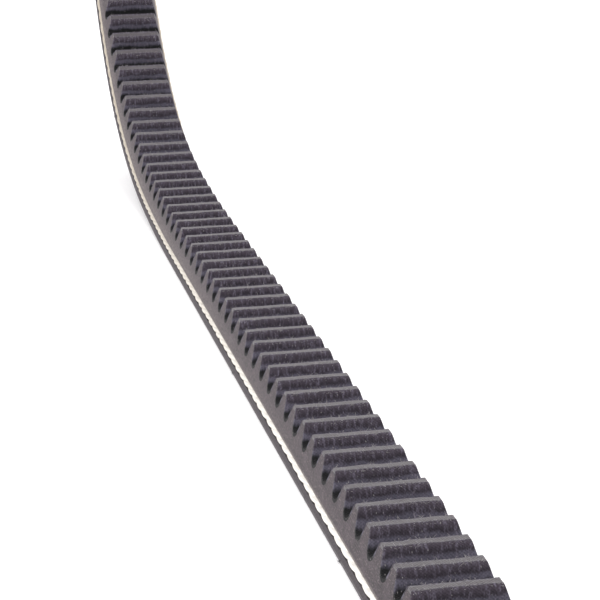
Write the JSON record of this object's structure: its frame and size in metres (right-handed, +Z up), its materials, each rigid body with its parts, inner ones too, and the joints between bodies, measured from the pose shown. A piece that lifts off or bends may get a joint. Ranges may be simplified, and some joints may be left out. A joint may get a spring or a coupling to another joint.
{
  "type": "v belt",
  "caption": "Endless raw-edge cogged V-belt in layers of fabric, rubber and twisted cord, standing on its back as a loop that flexes at hinges along its cord line.",
  "frame": {"origin": "under the middle of the belt's flat bottom run, on the surface that its back stands on", "axes": "+Z up, +Y along the bottom run towards the far end, +X across the belt's width"},
  "size_m": [0.0188, 0.65, 0.2237],
  "materials": {
    "back_fabric": "rubberised woven polycotton, charcoal, matt",
    "back_rubber": "ground edge, dark grey rubber, matt",
    "cord": "twisted polyester cord, cream white",
    "cushion_rubber": "ground edge, grey rubber, matt",
    "body_rubber": "ground edge with short fibres, warm grey, matt",
    "cog_fabric": "rubberised woven fabric, blue-black, with pale worn nap on the crests"
  },
  "bodies": {
    "bottom_run": {"bottom_run_back_fabric": "back_fabric", "bottom_run_tension_rubber": "back_rubber", "bottom_run_tensile_cords": "cord", "bottom_run_cushion_rubber": "cushion_rubber", "bottom_run_compression_rubber": "body_rubber", "bottom_run_cog_fabric": "cog_fabric"},
    "far_lower_bend": {"far_lower_bend_back_fabric": "back_fabric", "far_lower_bend_tension_rubber": "back_rubber", "far_lower_bend_tensile_cords": "cord", "far_lower_bend_cushion_rubber": "cushion_rubber", "far_lower_bend_compression_rubber": "body_rubber", "far_lower_bend_cog_fabric": "cog_fabric"},
    "far_end_bend": {"far_end_bend_back_fabric": "back_fabric", "far_end_bend_tension_rubber": "back_rubber", "far_end_bend_tensile_cords": "cord", "far_end_bend_cushion_rubber": "cushion_rubber", "far_end_bend_compression_rubber": "body_rubber", "far_end_bend_cog_fabric": "cog_fabric"},
    "far_upper_bend": {"far_upper_bend_back_fabric": "back_fabric", "far_upper_bend_tension_rubber": "back_rubber", "far_upper_bend_tensile_cords": "cord", "far_upper_bend_cushion_rubber": "cushion_rubber", "far_upper_bend_compression_rubber": "body_rubber", "far_upper_bend_cog_fabric": "cog_fabric"},
    "far_top_run": {"far_top_run_back_fabric": "back_fabric", "far_top_run_tension_rubber": "back_rubber", "far_top_run_tensile_cords": "cord", "far_top_run_cushion_rubber": "cushion_rubber", "far_top_run_compression_rubber": "body_rubber", "far_top_run_cog_fabric": "cog_fabric"},
    "near_top_run": {"near_top_run_back_fabric": "back_fabric", "near_top_run_tension_rubber": "back_rubber", "near_top_run_tensile_cords": "cord", "near_top_run_cushion_rubber": "cushion_rubber", "near_top_run_compression_rubber": "body_rubber", "near_top_run_cog_fabric": "cog_fabric"},
    "near_upper_bend": {"near_upper_bend_back_fabric": "back_fabric", "near_upper_bend_tension_rubber": "back_rubber", "near_upper_bend_tensile_cords": "cord", "near_upper_bend_cushion_rubber": "cushion_rubber", "near_upper_bend_compression_rubber": "body_rubber", "near_upper_bend_cog_fabric": "cog_fabric"},
    "near_end_bend": {"near_end_bend_back_fabric": "back_fabric", "near_end_bend_tension_rubber": "back_rubber", "near_end_bend_tensile_cords": "cord", "near_end_bend_cushion_rubber": "cushion_rubber", "near_end_bend_compression_rubber": "body_rubber", "near_end_bend_cog_fabric": "cog_fabric"},
    "near_lower_bend": {"near_lower_bend_back_fabric": "back_fabric", "near_lower_bend_tension_rubber": "back_rubber", "near_lower_bend_tensile_cords": "cord", "near_lower_bend_cushion_rubber": "cushion_rubber", "near_lower_bend_compression_rubber": "body_rubber", "near_lower_bend_cog_fabric": "cog_fabric"}
  },
  "joints": [
    {"name": "far_lower_flex", "type": "hinge", "parent": "bottom_run", "child": "far_lower_bend", "pos_m": [0, 0.23914, 0.01209], "axis": [1, 0, 0], "range_deg": [-15, 20], "stiffness_Nm_per_rad": 0.3, "springref_deg": 4.64},
    {"name": "far_end_lower_flex", "type": "hinge", "parent": "far_lower_bend", "child": "far_end_bend", "pos_m": [0, 0.31616, 0.07673], "axis": [1, 0, 0], "range_deg": [-20, 15], "stiffness_Nm_per_rad": 0.3, "springref_deg": -4.64},
    {"name": "far_end_upper_flex", "type": "hinge", "parent": "far_end_bend", "child": "far_upper_bend", "pos_m": [0, 0.31616, 0.14701], "axis": [1, 0, 0], "range_deg": [-20, 15], "stiffness_Nm_per_rad": 0.3, "springref_deg": -4.64},
    {"name": "far_upper_flex", "type": "hinge", "parent": "far_upper_bend", "child": "far_top_run", "pos_m": [0, 0.23914, 0.21165], "axis": [1, 0, 0], "range_deg": [-15, 20], "stiffness_Nm_per_rad": 0.3, "springref_deg": 4.64},
    {"name": "near_lower_flex", "type": "hinge", "parent": "bottom_run", "child": "near_lower_bend", "pos_m": [0, -0.23914, 0.01209], "axis": [1, 0, 0], "range_deg": [-20, 15], "stiffness_Nm_per_rad": 0.3, "springref_deg": -4.64},
    {"name": "near_end_lower_flex", "type": "hinge", "parent": "near_lower_bend", "child": "near_end_bend", "pos_m": [0, -0.31616, 0.07673], "axis": [1, 0, 0], "range_deg": [-15, 20], "stiffness_Nm_per_rad": 0.3, "springref_deg": 4.64},
    {"name": "near_end_upper_flex", "type": "hinge", "parent": "near_end_bend", "child": "near_upper_bend", "pos_m": [0, -0.31616, 0.14701], "axis": [1, 0, 0], "range_deg": [-15, 20], "stiffness_Nm_per_rad": 0.3, "springref_deg": 4.64},
    {"name": "near_upper_flex", "type": "hinge", "parent": "near_upper_bend", "child": "near_top_run", "pos_m": [0, -0.23914, 0.21165], "axis": [1, 0, 0], "range_deg": [-20, 15], "stiffness_Nm_per_rad": 0.3, "springref_deg": -4.64}
  ],
  "couplings": [
    {"joint": "far_end_lower_flex", "follows": "far_lower_flex", "ratio": -1},
    {"joint": "far_end_upper_flex", "follows": "far_lower_flex", "ratio": -1},
    {"joint": "far_upper_flex", "follows": "far_lower_flex", "ratio": 1},
    {"joint": "near_lower_flex", "follows": "far_lower_flex", "ratio": -1},
    {"joint": "near_end_lower_flex", "follows": "far_lower_flex", "ratio": 1},
    {"joint": "near_end_upper_flex", "follows": "far_lower_flex", "ratio": 1},
    {"joint": "near_upper_flex", "follows": "far_lower_flex", "ratio": -1}
  ]
}
